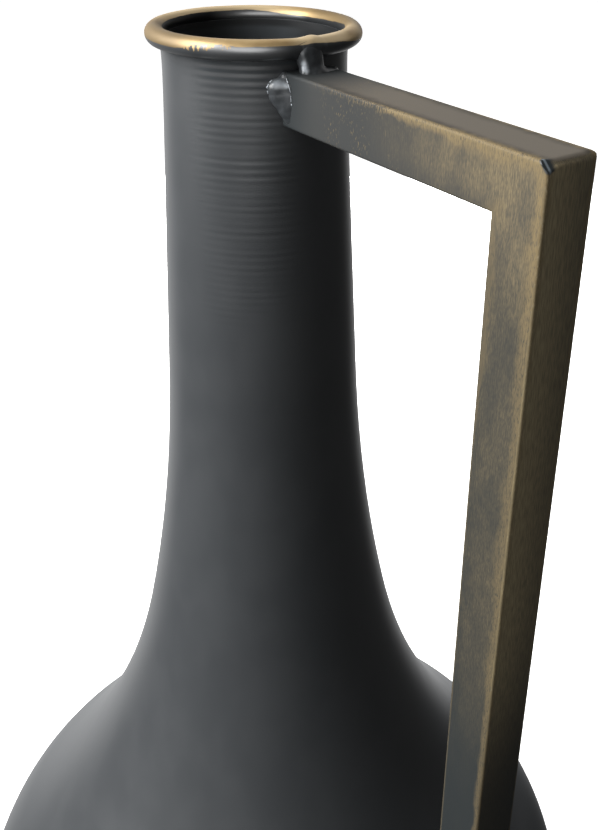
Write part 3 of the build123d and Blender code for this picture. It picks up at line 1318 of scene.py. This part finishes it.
@dataclass
class RimRing(SubAssembly):
    """Round bar bent into a ring on the lip, with the weld that joins its ends."""

    radius: float
    height: float
    bar_r: float
    gap: float = 2.0
    steps: int = 180
    sides: int = 28
    bar_lumps: Lumps = Lumps(14.0, 0.12)
    joint_span: float = 11.0
    joint_crown: float = 0.55
    joint_sink: float = 0.3
    joint_drops: int = 13
    joint_fusing: Fusing = Fusing(0.4, 8)
    joint_lumps: Lumps = Lumps(4.0, 0.25)

    def build_bar(self) -> bpy.types.Object:
        """Spin the bar's circle around the lip and close its two ends.

        Returns:
            The bar.
        """
        bm = bmesh.new()
        stand = Matrix.Translation((self.radius, 0, self.height)) @ Matrix.Rotation(pi / 2, 4, "X")
        bmesh.ops.create_circle(bm, cap_ends=False, segments=self.sides, radius=self.bar_r, matrix=stand)
        open_angle = self.gap / self.radius
        bmesh.ops.rotate(bm, verts=bm.verts, cent=(0, 0, 0), matrix=Matrix.Rotation(open_angle / 2, 3, "Z"))
        bmesh.ops.spin(
            bm, geom=bm.verts[:] + bm.edges[:], cent=(0, 0, 0), axis=(0, 0, 1), dvec=(0, 0, 0),
            angle=tau - open_angle, steps=self.steps, use_merge=False, use_duplicate=False,
        )
        bmesh.ops.holes_fill(bm, edges=bm.edges, sides=0)
        bmesh.ops.recalc_face_normals(bm, faces=bm.faces)
        roughen(bm, self.bar_lumps)
        return make_piece(bm, "rim_bar")

    def build_joint(self) -> bpy.types.Object:
        """Run weld metal over the gap between the bar's ends.

        Returns:
            The joint.
        """
        drops = []
        for index in range(self.joint_drops):
            share = 2 * index / (self.joint_drops - 1) - 1
            angle = share * self.joint_span / 2 / self.radius
            swell = (self.joint_crown + self.joint_sink) * (1 - share**2) - self.joint_sink
            x, y = self.radius * cos(angle), self.radius * sin(angle)
            drops.append(Puddle(x, y, self.height, self.bar_r + swell))
        bm = fused_puddles(drops, "rim_joint", self.joint_fusing)
        roughen(bm, self.joint_lumps)
        return make_piece(bm, "rim_joint")

    def build(self) -> None:
        """Build the pieces and let them stand for their nodes."""
        self.mount(Slot.RIM, {"rim_ring": self.build_bar(), "rim_joint_weld": self.build_joint()})

    def dress(self, gilding: RimGilding) -> None:
        """Gild the rim."""
        self.cover(gilding.build(self.radius, self.height))


# Handle


@dataclass
class TubeHandle(SubAssembly):
    """Two mitred lengths of square tube and the weld on their outer corner."""

    outline: BodyOutline
    arm_start: float
    arm_mid: float
    leg_mid: float
    side: float
    corner: float = 1.0
    corner_segments: int = 6
    flat_cuts: int = 29
    wall: float = 1.5
    notch: CornerNotch = CornerNotch()
    arm_rings: int = 90
    arm_grading: float = 1.5
    arm_coped: Band = (0, 0.3)
    arm_mitred: Band = (0.55, 1)
    leg_rings: int = 150
    leg_grading: float = 1.6
    leg_coped: Band = (0, 0.2)
    leg_mitred: Band = (0.85, 1)
    bead_drops: int = 25
    bead_proud: float = 0.06
    bead_lumps: Lumps = Lumps(3, 0.05)
    bead_fusing: Fusing = Fusing(0.3, 6)

    @property
    def half(self) -> float:
        """Half of the tube's side."""
        return self.side / 2

    @property
    def top(self) -> float:
        """Height of the arm's top face."""
        return self.arm_mid + self.half

    def tube(self, rings: int) -> bmesh.types.BMesh:
        """Unit length of rounded square tube along Z with evenly spaced rings.

        Args:
            rings: Rings along the tube.

        Returns:
            The open tube, from Z 0 to 1.
        """
        bm = bmesh.new()
        turn = Matrix.Rotation(pi / 4, 4, "Z")
        bmesh.ops.create_circle(bm, cap_ends=True, segments=4, radius=self.half * sqrt(2), matrix=turn)
        bmesh.ops.bevel(
            bm, geom=bm.verts[:], offset=self.corner, offset_type="OFFSET", segments=self.corner_segments,
            profile=0.5, affect="VERTICES", material=-1,
        )
        flats = [edge for edge in bm.edges if edge.calc_length() > self.half]
        bmesh.ops.subdivide_edges(bm, edges=flats, cuts=self.flat_cuts)
        bmesh.ops.delete(bm, geom=bm.faces[:], context="FACES_ONLY")
        grown = bmesh.ops.extrude_edge_only(bm, edges=bm.edges[:])
        tops = [part for part in grown["geom"] if isinstance(part, bmesh.types.BMVert)]
        bmesh.ops.translate(bm, verts=tops, vec=(0, 0, 1))
        uprights = [edge for edge in bm.edges if edge.verts[0].co.z != edge.verts[1].co.z]
        bmesh.ops.subdivide_edges(bm, edges=uprights, cuts=rings - 1, use_grid_fill=True)
        bmesh.ops.recalc_face_normals(bm, faces=bm.faces)
        return bm

    def ease_corner(self, place: Vector) -> Vector:
        """Round the mitre's outer edge and cut the open notch into its front end.

        Args:
            place: Point on the sharp tube.

        Returns:
            The point on the finished tube.
        """
        round_r = self.notch.edge_round
        sharp = Vector((self.leg_mid + self.half, 0, self.top))
        away = Vector((place.x - sharp.x + round_r, 0, place.z - sharp.z + round_r))
        if away.x > 0 and away.z > 0 and away.length > round_r:
            place = place + away.normalized() * round_r - away
        out = (place.x - sharp.x + place.z - sharp.z) * sqrt(0.5)
        cut = self.notch.eased(out, self.half + place.y) - out
        return place + Vector((cut, 0, cut)) * sqrt(0.5)

    def shaped(self, bm: bmesh.types.BMesh, bend: Callable[[Vector], Vector], name: str) -> bpy.types.Object:
        """Bring a unit tube to its place and give it its wall.

        Args:
            bm: The unit tube.
            bend: Maps a point of the unit tube to its place on the handle.
            name: Name of the piece.

        Returns:
            The finished tube.
        """
        for vert in bm.verts:
            vert.co = self.ease_corner(bend(vert.co))
        bm.normal_update()
        bmesh.ops.solidify(bm, geom=bm.faces[:], thickness=self.wall)
        return make_piece(bm, name, TUBE_CREASE)

    def bend_arm(self, unit: Vector) -> Vector:
        """Place a point of the unit tube on the arm: coped to the neck at one end, mitred at the other.

        Args:
            unit: Point of the unit tube.

        Returns:
            The point on the arm.
        """
        along = 1 - (1 - unit.z) ** self.arm_grading
        height = self.arm_mid + unit.y
        cope = sqrt(self.outline.radius_at(height) ** 2 - unit.x**2)
        middle = self.arm_start + (self.leg_mid - self.arm_start) * along
        near = (cope - self.arm_start) * (1 - smooth_step(along, *self.arm_coped))
        far = unit.y * smooth_step(along, *self.arm_mitred)
        return Vector((middle + near + far, unit.x, height))

    def bend_leg(self, unit: Vector) -> Vector:
        """Place a point of the unit tube on the leg: coped to the shoulder at its foot, mitred at its top.

        Args:
            unit: Point of the unit tube.

        Returns:
            The point on the leg.
        """
        along = 1 - (1 - unit.z) ** self.leg_grading
        across = self.leg_mid + unit.y
        foot = self.outline.shoulder_height(self.leg_mid)
        cope = self.outline.shoulder_height(hypot(across, unit.x))
        middle = foot + (self.arm_mid - foot) * along
        near = (cope - foot) * (1 - smooth_step(along, *self.leg_coped))
        far = unit.y * smooth_step(along, *self.leg_mitred)
        return Vector((across, -unit.x, middle + near + far))

    def build_corner(self) -> bpy.types.Object:
        """Lay the ground-down weld along the mitre's outer edge.

        Returns:
            The weld.
        """
        sink = self.notch.edge_round
        first = self.notch.length + self.corner - self.half
        last = self.half - 2 * self.corner
        drops = []
        for index in range(self.bead_drops):
            across = first + (last - first) * index / (self.bead_drops - 1)
            lump = self.bead_lumps.depth * noise.noise((across / self.bead_lumps.size, 0, 0))
            radius = self.notch.edge_round + self.bead_proud + lump
            drops.append(Puddle(self.leg_mid + self.half - sink, across, self.top - sink, radius))
        return make_piece(fused_puddles(drops, "corner_bead", self.bead_fusing), "corner_bead")

    def build(self) -> None:
        """Build the pieces and let them stand for their nodes."""
        self.mount(Slot.HANDLE, {
            "handle_arm": self.shaped(self.tube(self.arm_rings), self.bend_arm, "arm_tube"),
            "handle_leg": self.shaped(self.tube(self.leg_rings), self.bend_leg, "leg_tube"),
            "handle_corner_weld": self.build_corner(),
        })

    def dress(self, bronze: HandleBronze) -> None:
        """Dry-brush the tubes and their corner."""
        self.cover(bronze.build(self.arm_mid, self.leg_mid, self.half, self.notch))


@dataclass(frozen=True)
class ChipsAndSheen:
    """Light marks on a weld: chips as sharp strokes that stand proud, and a soft painted sheen."""

    strokes: tuple[tuple[Puddle, Puddle], ...] = ()
    # painted sheen: soft light-grey spots standing in for a highlight
    sheen: tuple[Puddle, ...] = ()
    sheen_share: float = 0.6

    def share(self, place: Vector) -> float:
        """How far the painted sheen lightens a point of the weld: 0 for whole paint and 1 for the chip
        colour.
        """
        gaps = [(place - spot.place).length / spot.radius for spot in self.sheen]
        return max((self.sheen_share * (1 - smooth_step(gap, 0.0, 1.0)) for gap in gaps), default=0.0)

    def beads(self) -> list[Puddle]:
        """Small beads that make up the strokes.

        Returns:
            The beads.
        """
        beads = []
        for first, last in self.strokes:
            count = max(2, ceil((last.place - first.place).length / first.radius * 2))
            for index in range(count + 1):
                place = first.place.lerp(last.place, index / count)
                radius = first.radius + (last.radius - first.radius) * index / count
                beads.append(Puddle(*place, radius))
        return beads


@dataclass
class HandleWelds(SubAssembly):
    """Weld metal between the handle, the neck, the rim and the shoulder.

    A drop on a side weld has its distance from the neck's face along the arm, its distance beyond the arm's
    side face, its height above the arm's top face and its radius. A drop on the top weld has its distance
    beyond the rim's circle, its place across the arm, its height above the arm's top face and its radius.
    """

    outline: BodyOutline
    handle: TubeHandle
    rim: RimRing
    fusing: Fusing = Fusing(0.3, 36)
    lumps: Lumps = Lumps(4.0, 0.10)
    front_drops: tuple[Drop, ...] = (
        (-0.9, 2.3, -5.5, 3.5), (-0.2, 1.4, -5.2, 3.4), (1.0, 0.4, -5.6, 3.0), (-0.7, 2.0, -8.6, 3.3),
        (0.6, 0.8, -8.6, 3.2), (0.0, 1.2, -10.6, 3.0), (1.0, 0.5, -11.0, 2.9), (0.9, 0.2, -13.4, 2.6),
        (1.5, -0.5, -15.2, 2.2), (1.9, -0.9, -17.0, 1.9), (0.4, -0.8, -1.8, 2.2), (2.4, -1.5, -5.0, 3.2),
        (2.6, -1.6, -8.0, 3.2), (2.8, -1.7, -11.0, 3.2), (2.8, -1.8, -14.0, 3.0), (2.6, -2.0, -16.6, 2.8),
        (1.7, -0.4, -7.6, 3.1), (1.8, -0.4, -9.8, 3.1), (1.9, -0.5, -12.0, 3.1), (1.9, -0.8, -14.4, 2.9),
    )
    front_strokes: tuple[tuple[Drop, Drop], ...] = (
        ((-0.9, 4.2, -2.8, 0.32), (-1.0, 4.8, -3.2, 0.22)),
        ((-1.2, 5.3, -4.0, 0.26), (-1.7, 5.6, -5.2, 0.40)),
        ((-1.8, 5.4, -6.6, 0.24), (-1.8, 5.3, -7.4, 0.18)),
        ((2.6, 0.2, -1.8, 0.14), (3.7, 0.4, -3.0, 0.24)),
        ((4.4, 0.6, -3.6, 0.24), (5.3, 0.3, -6.2, 0.14)),
        ((5.4, 0.2, -7.6, 0.14), (5.5, 0.2, -9.4, 0.20)),
        ((5.6, 0.1, -10.6, 0.30), (5.6, 0.1, -10.8, 0.26)),
    )
    # painted sheen on the blob, standing in for a highlight
    front_sheen: tuple[Drop, ...] = (
        (1.5, 3.6, -3.4, 3.0), (2.1, 3.1, -3.3, 2.8), (2.8, 2.3, -3.5, 2.2), (3.4, 1.6, -3.9, 1.6),
        (4.0, 1.2, -4.3, 1.2),
    )
    back_drops: tuple[Drop, ...] = (
        (-0.9, 2.0, -3.4, 3.2), (0.2, 1.2, -5.4, 3.6), (-0.4, 1.6, -9.0, 3.6), (0.4, 0.6, -12.5, 3.2),
        (1.0, -0.2, -16.0, 2.6),
    )
    top_drops: tuple[Drop, ...] = (
        (1.4, -3.9, 6.4, 3.1), (1.6, -1.6, 6.6, 3.3), (1.4, 1.0, 6.4, 3.1), (1.8, -3.4, 4.2, 3.2),
        (2.0, -1.4, 4.2, 3.4), (1.9, 0.8, 4.2, 3.2), (2.2, -2.6, 2.2, 3.3), (2.2, 0.4, 2.2, 3.4),
        (2.4, -2.2, 0.4, 3.6), (2.6, 0.4, 0.2, 3.8), (3.0, -1.0, -1.2, 4.2), (3.2, 2.2, -1.4, 3.6),
        (3.0, 5.2, -1.9, 3.3), (2.6, 8.0, -2.2, 3.1), (4.4, -1.4, -1.9, 3.4), (3.7, -4.4, 1.4, 1.9),
        (3.9, -4.3, 0.2, 2.2), (4.0, -3.8, -1.0, 2.6), (3.3, -4.6, 2.8, 1.6), (1.7, -3.2, 8.0, 2.5),
        (1.8, -1.2, 8.2, 2.5), (1.7, 0.9, 8.0, 2.5),
    )
    # painted sheen on the top weld's front lobe, standing in for a highlight
    top_sheen: tuple[Drop, ...] = ((4.4, -5.5, 3.4, 1.7), (4.8, -5.5, 2.2, 2.1), (5.4, -4.9, 1.3, 1.4))
    top_sheen_share: float = 0.9
    foot_pitch: float = 1.7
    foot_r: float = 2.3
    foot_sink: float = 0.6
    foot_fusing: Fusing = Fusing(0.5, 3)
    foot_lumps: Lumps = Lumps(2.0, 0.4)

    def lump(self, puddles: Iterable[Puddle], name: str, wear_and_highlight: ChipsAndSheen = ChipsAndSheen()) -> bpy.types.Object:
        """Fuse drops, roughen them, keep them out of the neck's bore and paint their chips and sheen.

        Args:
            puddles: The drops.
            name: Name of the piece.
            wear_and_highlight: Where the paint is chipped and where a sheen is painted.

        Returns:
            The finished weld.
        """
        bm = fused_puddles(puddles, name, self.fusing)
        roughen(bm, self.lumps)
        chips_and_sheen = bm.verts.layers.float.new(CHIPS_AND_SHEEN)
        # painted sheen and chips: how light grey each vertex is painted
        for vert in bm.verts:
            vert[chips_and_sheen] = wear_and_highlight.share(vert.co)
        for bead in wear_and_highlight.beads():
            for vert in add_drop(bm, bead, subdivisions=1):
                vert[chips_and_sheen] = 1.0
        for vert in bm.verts:
            least = self.outline.radius_at(vert.co.z) - self.outline.sheet / 2
            radius = hypot(vert.co.x, vert.co.y)
            if radius < least:
                vert.co.xy = vert.co.xy * (least / radius)
        return make_piece(bm, name, WELD_CREASE)

    def beside_arm(self, side: Side, drop: Drop) -> Puddle:
        """Drop of weld on a side of the arm's end.

        Args:
            side: Side of the arm.
            drop: The drop of a side weld.

        Returns:
            The drop in its place.
        """
        along, beside, above, radius = drop
        across = side.value * (self.handle.half + beside)
        return Puddle(self.handle.arm_start + along, across, self.handle.top + above, radius)

    def above_arm(self, drop: Drop) -> Puddle:
        """Drop of the top weld in its place."""
        beyond, across, above, radius = drop
        return Puddle(self.rim.radius + beyond, across, self.handle.top + above, radius)

    def build_side(self, side: Side) -> bpy.types.Object:
        """Run of weld down one side of the arm's end; the front one has chips and a painted sheen near its
        top.

        Args:
            side: Side of the arm.

        Returns:
            The weld.
        """
        front = side is Side.FRONT
        drops = self.front_drops if front else self.back_drops
        puddles = [self.beside_arm(side, drop) for drop in drops]
        wear_and_highlight = self.front_chips_and_sheen() if front else ChipsAndSheen()
        return self.lump(puddles, f"{side.name.lower()}_weld", wear_and_highlight)

    def front_chips_and_sheen(self) -> ChipsAndSheen:
        """Chips on the front weld's left edge, a painted sheen on its blob and a crack along the arm's end.

        Returns:
            The chips and the painted sheen.
        """
        strokes = tuple(
            (self.beside_arm(Side.FRONT, first), self.beside_arm(Side.FRONT, last))
            for first, last in self.front_strokes
        )
        return ChipsAndSheen(strokes, tuple(self.beside_arm(Side.FRONT, spot) for spot in self.front_sheen))

    def build_top(self) -> bpy.types.Object:
        """Column of weld from the arm's top up to the rim, with a painted sheen on a lobe at its front.

        Returns:
            The weld.
        """
        sheen = tuple(self.above_arm(spot) for spot in self.top_sheen)
        wear_and_highlight = ChipsAndSheen(sheen=sheen, sheen_share=self.top_sheen_share)
        return self.lump([self.above_arm(drop) for drop in self.top_drops], "top_weld", wear_and_highlight)

    def build_foot(self) -> bpy.types.Object:
        """Fillet of weld around the leg's foot.

        Returns:
            The weld.
        """
        half = self.handle.half
        count = ceil(self.handle.side / self.foot_pitch)
        corners = [(-half, -half), (half, -half), (half, half), (-half, half), (-half, -half)]
        puddles = []
        for (x0, y0), (x1, y1) in zip(corners, corners[1:]):
            for share in (index / count for index in range(count)):
                x = self.handle.leg_mid + x0 + (x1 - x0) * share
                y = y0 + (y1 - y0) * share
                puddles.append(Puddle(x, y, self.outline.shoulder_height(hypot(x, y)), self.foot_r))
        bm = fused_puddles(puddles, "foot_weld", self.foot_fusing)
        roughen(bm, self.foot_lumps)
        for vert in bm.verts:
            radius = min(hypot(vert.co.x, vert.co.y), self.outline.girth_r)
            vert.co.z = max(vert.co.z, self.outline.shoulder_height(radius) - self.foot_sink)
        return make_piece(bm, "foot_weld", WELD_CREASE)

    def build(self) -> None:
        """Build the pieces and let them stand for their nodes."""
        self.mount(Slot.WELD, {
            "neck_weld_front": self.build_side(Side.FRONT),
            "neck_weld_top": self.build_top(),
            "neck_weld_back": self.build_side(Side.BACK),
            "shoulder_weld": self.build_foot(),
        })

    def dress(self, paint: WeldPaint) -> None:
        """Paint the welds."""
        self.cover(paint.build())


# Studio


@dataclass(frozen=True)
class Lamp:
    """Soft round lamp aimed at a height on the vase's axis, in metres, watts and degrees from the camera."""

    name: str
    left: float
    rise: float
    distance: float
    size: float
    power: float
    aim: float
    rays: Rays = Rays.ALL


@dataclass
class Studio:
    """Pale floor, soft light and the camera at the photograph's viewing angle, in metres and degrees."""

    camera_place: Size = (0.33549, -0.20277, 0.68799)
    heading: float = 142.88
    pitch: float = 26.34
    roll: float = 1.117
    focal_pixels: float = 991.16
    picture_centre: Point = (355.0, 320.0)
    sensor: float = 36.0
    nearest: float = 0.01
    lamps: tuple[Lamp, ...] = (
        Lamp("key_lamp", left=75, rise=33, distance=1.7, size=1.69, power=95, aim=0.42),
        Lamp("fill_lamp", left=20, rise=0, distance=1.2, size=0.6, power=2.1, aim=0.42, rays=Rays.SOFT),
        Lamp("back_lamp", left=180, rise=2, distance=1.7, size=1.2, power=75, aim=0.42, rays=Rays.SOFT),
        Lamp("front_lamp", left=3, rise=18, distance=0.45, size=0.37, power=0.95, aim=0.60, rays=Rays.GLINTS),
    )
    ambient: float = 0.07
    backdrop_angle: float = 165.0
    backdrop: Fade = Fade(0.58, 0.88, 0, 0.9)
    side_angle: float = -118.0
    side_rise: float = 30.0
    side_card: Fade = Fade(0.86, 0.97, 0, 0.8)
    floor_r: float = 9.0
    floor_sides: int = 96

    def toward(self, angle: float, rise: float) -> Vector:
        """Direction from the vase at an angle to the left of the camera.

        Args:
            angle: Degrees from the camera towards its left.
            rise: Degrees above the floor.

        Returns:
            The unit direction.
        """
        turned = radians(self.heading + 180 - angle)
        level = cos(radians(rise))
        return Vector((cos(turned) * level, sin(turned) * level, sin(radians(rise))))

    def build_camera(self) -> None:
        """Set the camera at the photograph's place."""
        data = bpy.data.cameras.new("photo_camera")
        data.sensor_width = self.sensor
        data.lens = self.focal_pixels / max(IMAGE) * self.sensor
        data.shift_x = (IMAGE[0] / 2 - self.picture_centre[0]) / max(IMAGE)
        data.shift_y = (self.picture_centre[1] - IMAGE[1] / 2) / max(IMAGE)
        data.clip_start = self.nearest
        data.dof.use_dof = False
        camera = bpy.data.objects.new("photo_camera", data)
        bpy.context.scene.collection.objects.link(camera)
        turn = Matrix.Rotation(radians(self.heading - 90), 4, "Z")
        tip = Matrix.Rotation(radians(90 - self.pitch), 4, "X")
        lean = Matrix.Rotation(radians(self.roll), 4, "Z")
        camera.matrix_world = Matrix.Translation(self.camera_place) @ turn @ tip @ lean
        bpy.context.scene.camera = camera

    def hang(self, lamp: Lamp) -> None:
        """Hang a lamp.

        Args:
            lamp: The lamp.
        """
        data = bpy.data.lights.new(lamp.name, "AREA")
        data.shape = "DISK"
        data.size = lamp.size
        data.energy = lamp.power
        light = bpy.data.objects.new(lamp.name, data)
        light.visible_camera = False
        light.visible_diffuse = lamp.rays is not Rays.GLINTS
        light.visible_glossy = lamp.rays is not Rays.SOFT
        bpy.context.scene.collection.objects.link(light)
        way = self.toward(lamp.left, lamp.rise)
        turn = way.to_track_quat("Z", "Y").to_matrix().to_4x4()
        light.matrix_world = Matrix.Translation(Vector((0, 0, lamp.aim)) + way * lamp.distance) @ turn

    def build_world(self) -> None:
        """Dim room whose white backdrop and side card show in reflections; the camera sees plain white."""
        world = bpy.data.worlds.new("studio")
        bpy.context.scene.world = world
        world.use_nodes = True
        graph = NodeGraph(world.node_tree)
        surface = graph.tree.nodes["Background"]
        graph.plug(surface.inputs["Color"], WHITE)
        way = graph.node("ShaderNodeTexCoord").outputs["Generated"]
        heading = graph.unit(graph.level(way))
        backdrop = graph.fade(graph.facing(heading, self.toward(self.backdrop_angle, 0)), self.backdrop)
        side = graph.fade(graph.facing(way, self.toward(self.side_angle, self.side_rise)), self.side_card)
        path = graph.node("ShaderNodeLightPath")
        cards = graph.product(path.outputs["Is Glossy Ray"], graph.math("MAXIMUM", backdrop, side))
        glow = graph.math("ADD", self.ambient, cards)
        graph.plug(surface.inputs["Strength"], graph.math("MAXIMUM", path.outputs["Is Camera Ray"], glow))

    def build_floor(self) -> None:
        """Lay the floor."""
        bm = bmesh.new()
        bmesh.ops.create_circle(bm, cap_ends=True, segments=self.floor_sides, radius=self.floor_r / MM)
        floor = make_piece(bm, "pale_floor")
        dress_piece(floor, FloorPaint().build())
        floor.visible_diffuse = False
        floor.visible_glossy = False

    def build(self) -> None:
        """Build the whole studio."""
        self.build_camera()
        self.build_world()
        self.build_floor()
        for lamp in self.lamps:
            self.hang(lamp)
        bpy.context.scene.view_settings.view_transform = "Standard"


def main() -> None:
    """Build and dress the vase from the frame's sizes, and report its pieces."""
    logging.basicConfig(level=logging.INFO, format="%(name)s: %(message)s")
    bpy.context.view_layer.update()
    rim_low, rim_high = (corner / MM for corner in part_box("rim_ring"))
    arm_low, arm_high = (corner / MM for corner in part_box("handle_arm"))
    leg_low, leg_high = (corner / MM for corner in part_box("handle_leg"))
    outline = BodyOutline(rim_z=(rim_low.z + rim_high.z) / 2)
    bar_r = (rim_high.z - rim_low.z) / 2
    body = SpunBody(outline)
    rim = RimRing(radius=(rim_high.y - rim_low.y) / 2 - bar_r, height=outline.rim_z, bar_r=bar_r)
    handle = TubeHandle(
        outline=outline,
        arm_start=outline.radius_at(arm_high.z),
        arm_mid=(arm_low.z + arm_high.z) / 2,
        leg_mid=(leg_low.x + leg_high.x) / 2,
        side=leg_high.x - leg_low.x,
    )
    welds = HandleWelds(outline, handle, rim)
    finishes = (BodyPaint(), RimGilding(), HandleBronze(), WeldPaint())
    for assembly, finish in zip((body, rim, handle, welds), finishes):
        assembly.build()
        assembly.dress(finish)
        for node, piece in assembly.pieces.items():
            log.info("%s stands for %s: %d faces", piece.name, node, len(piece.data.polygons))
    Studio().build()


if __name__ == "__main__":
    main()
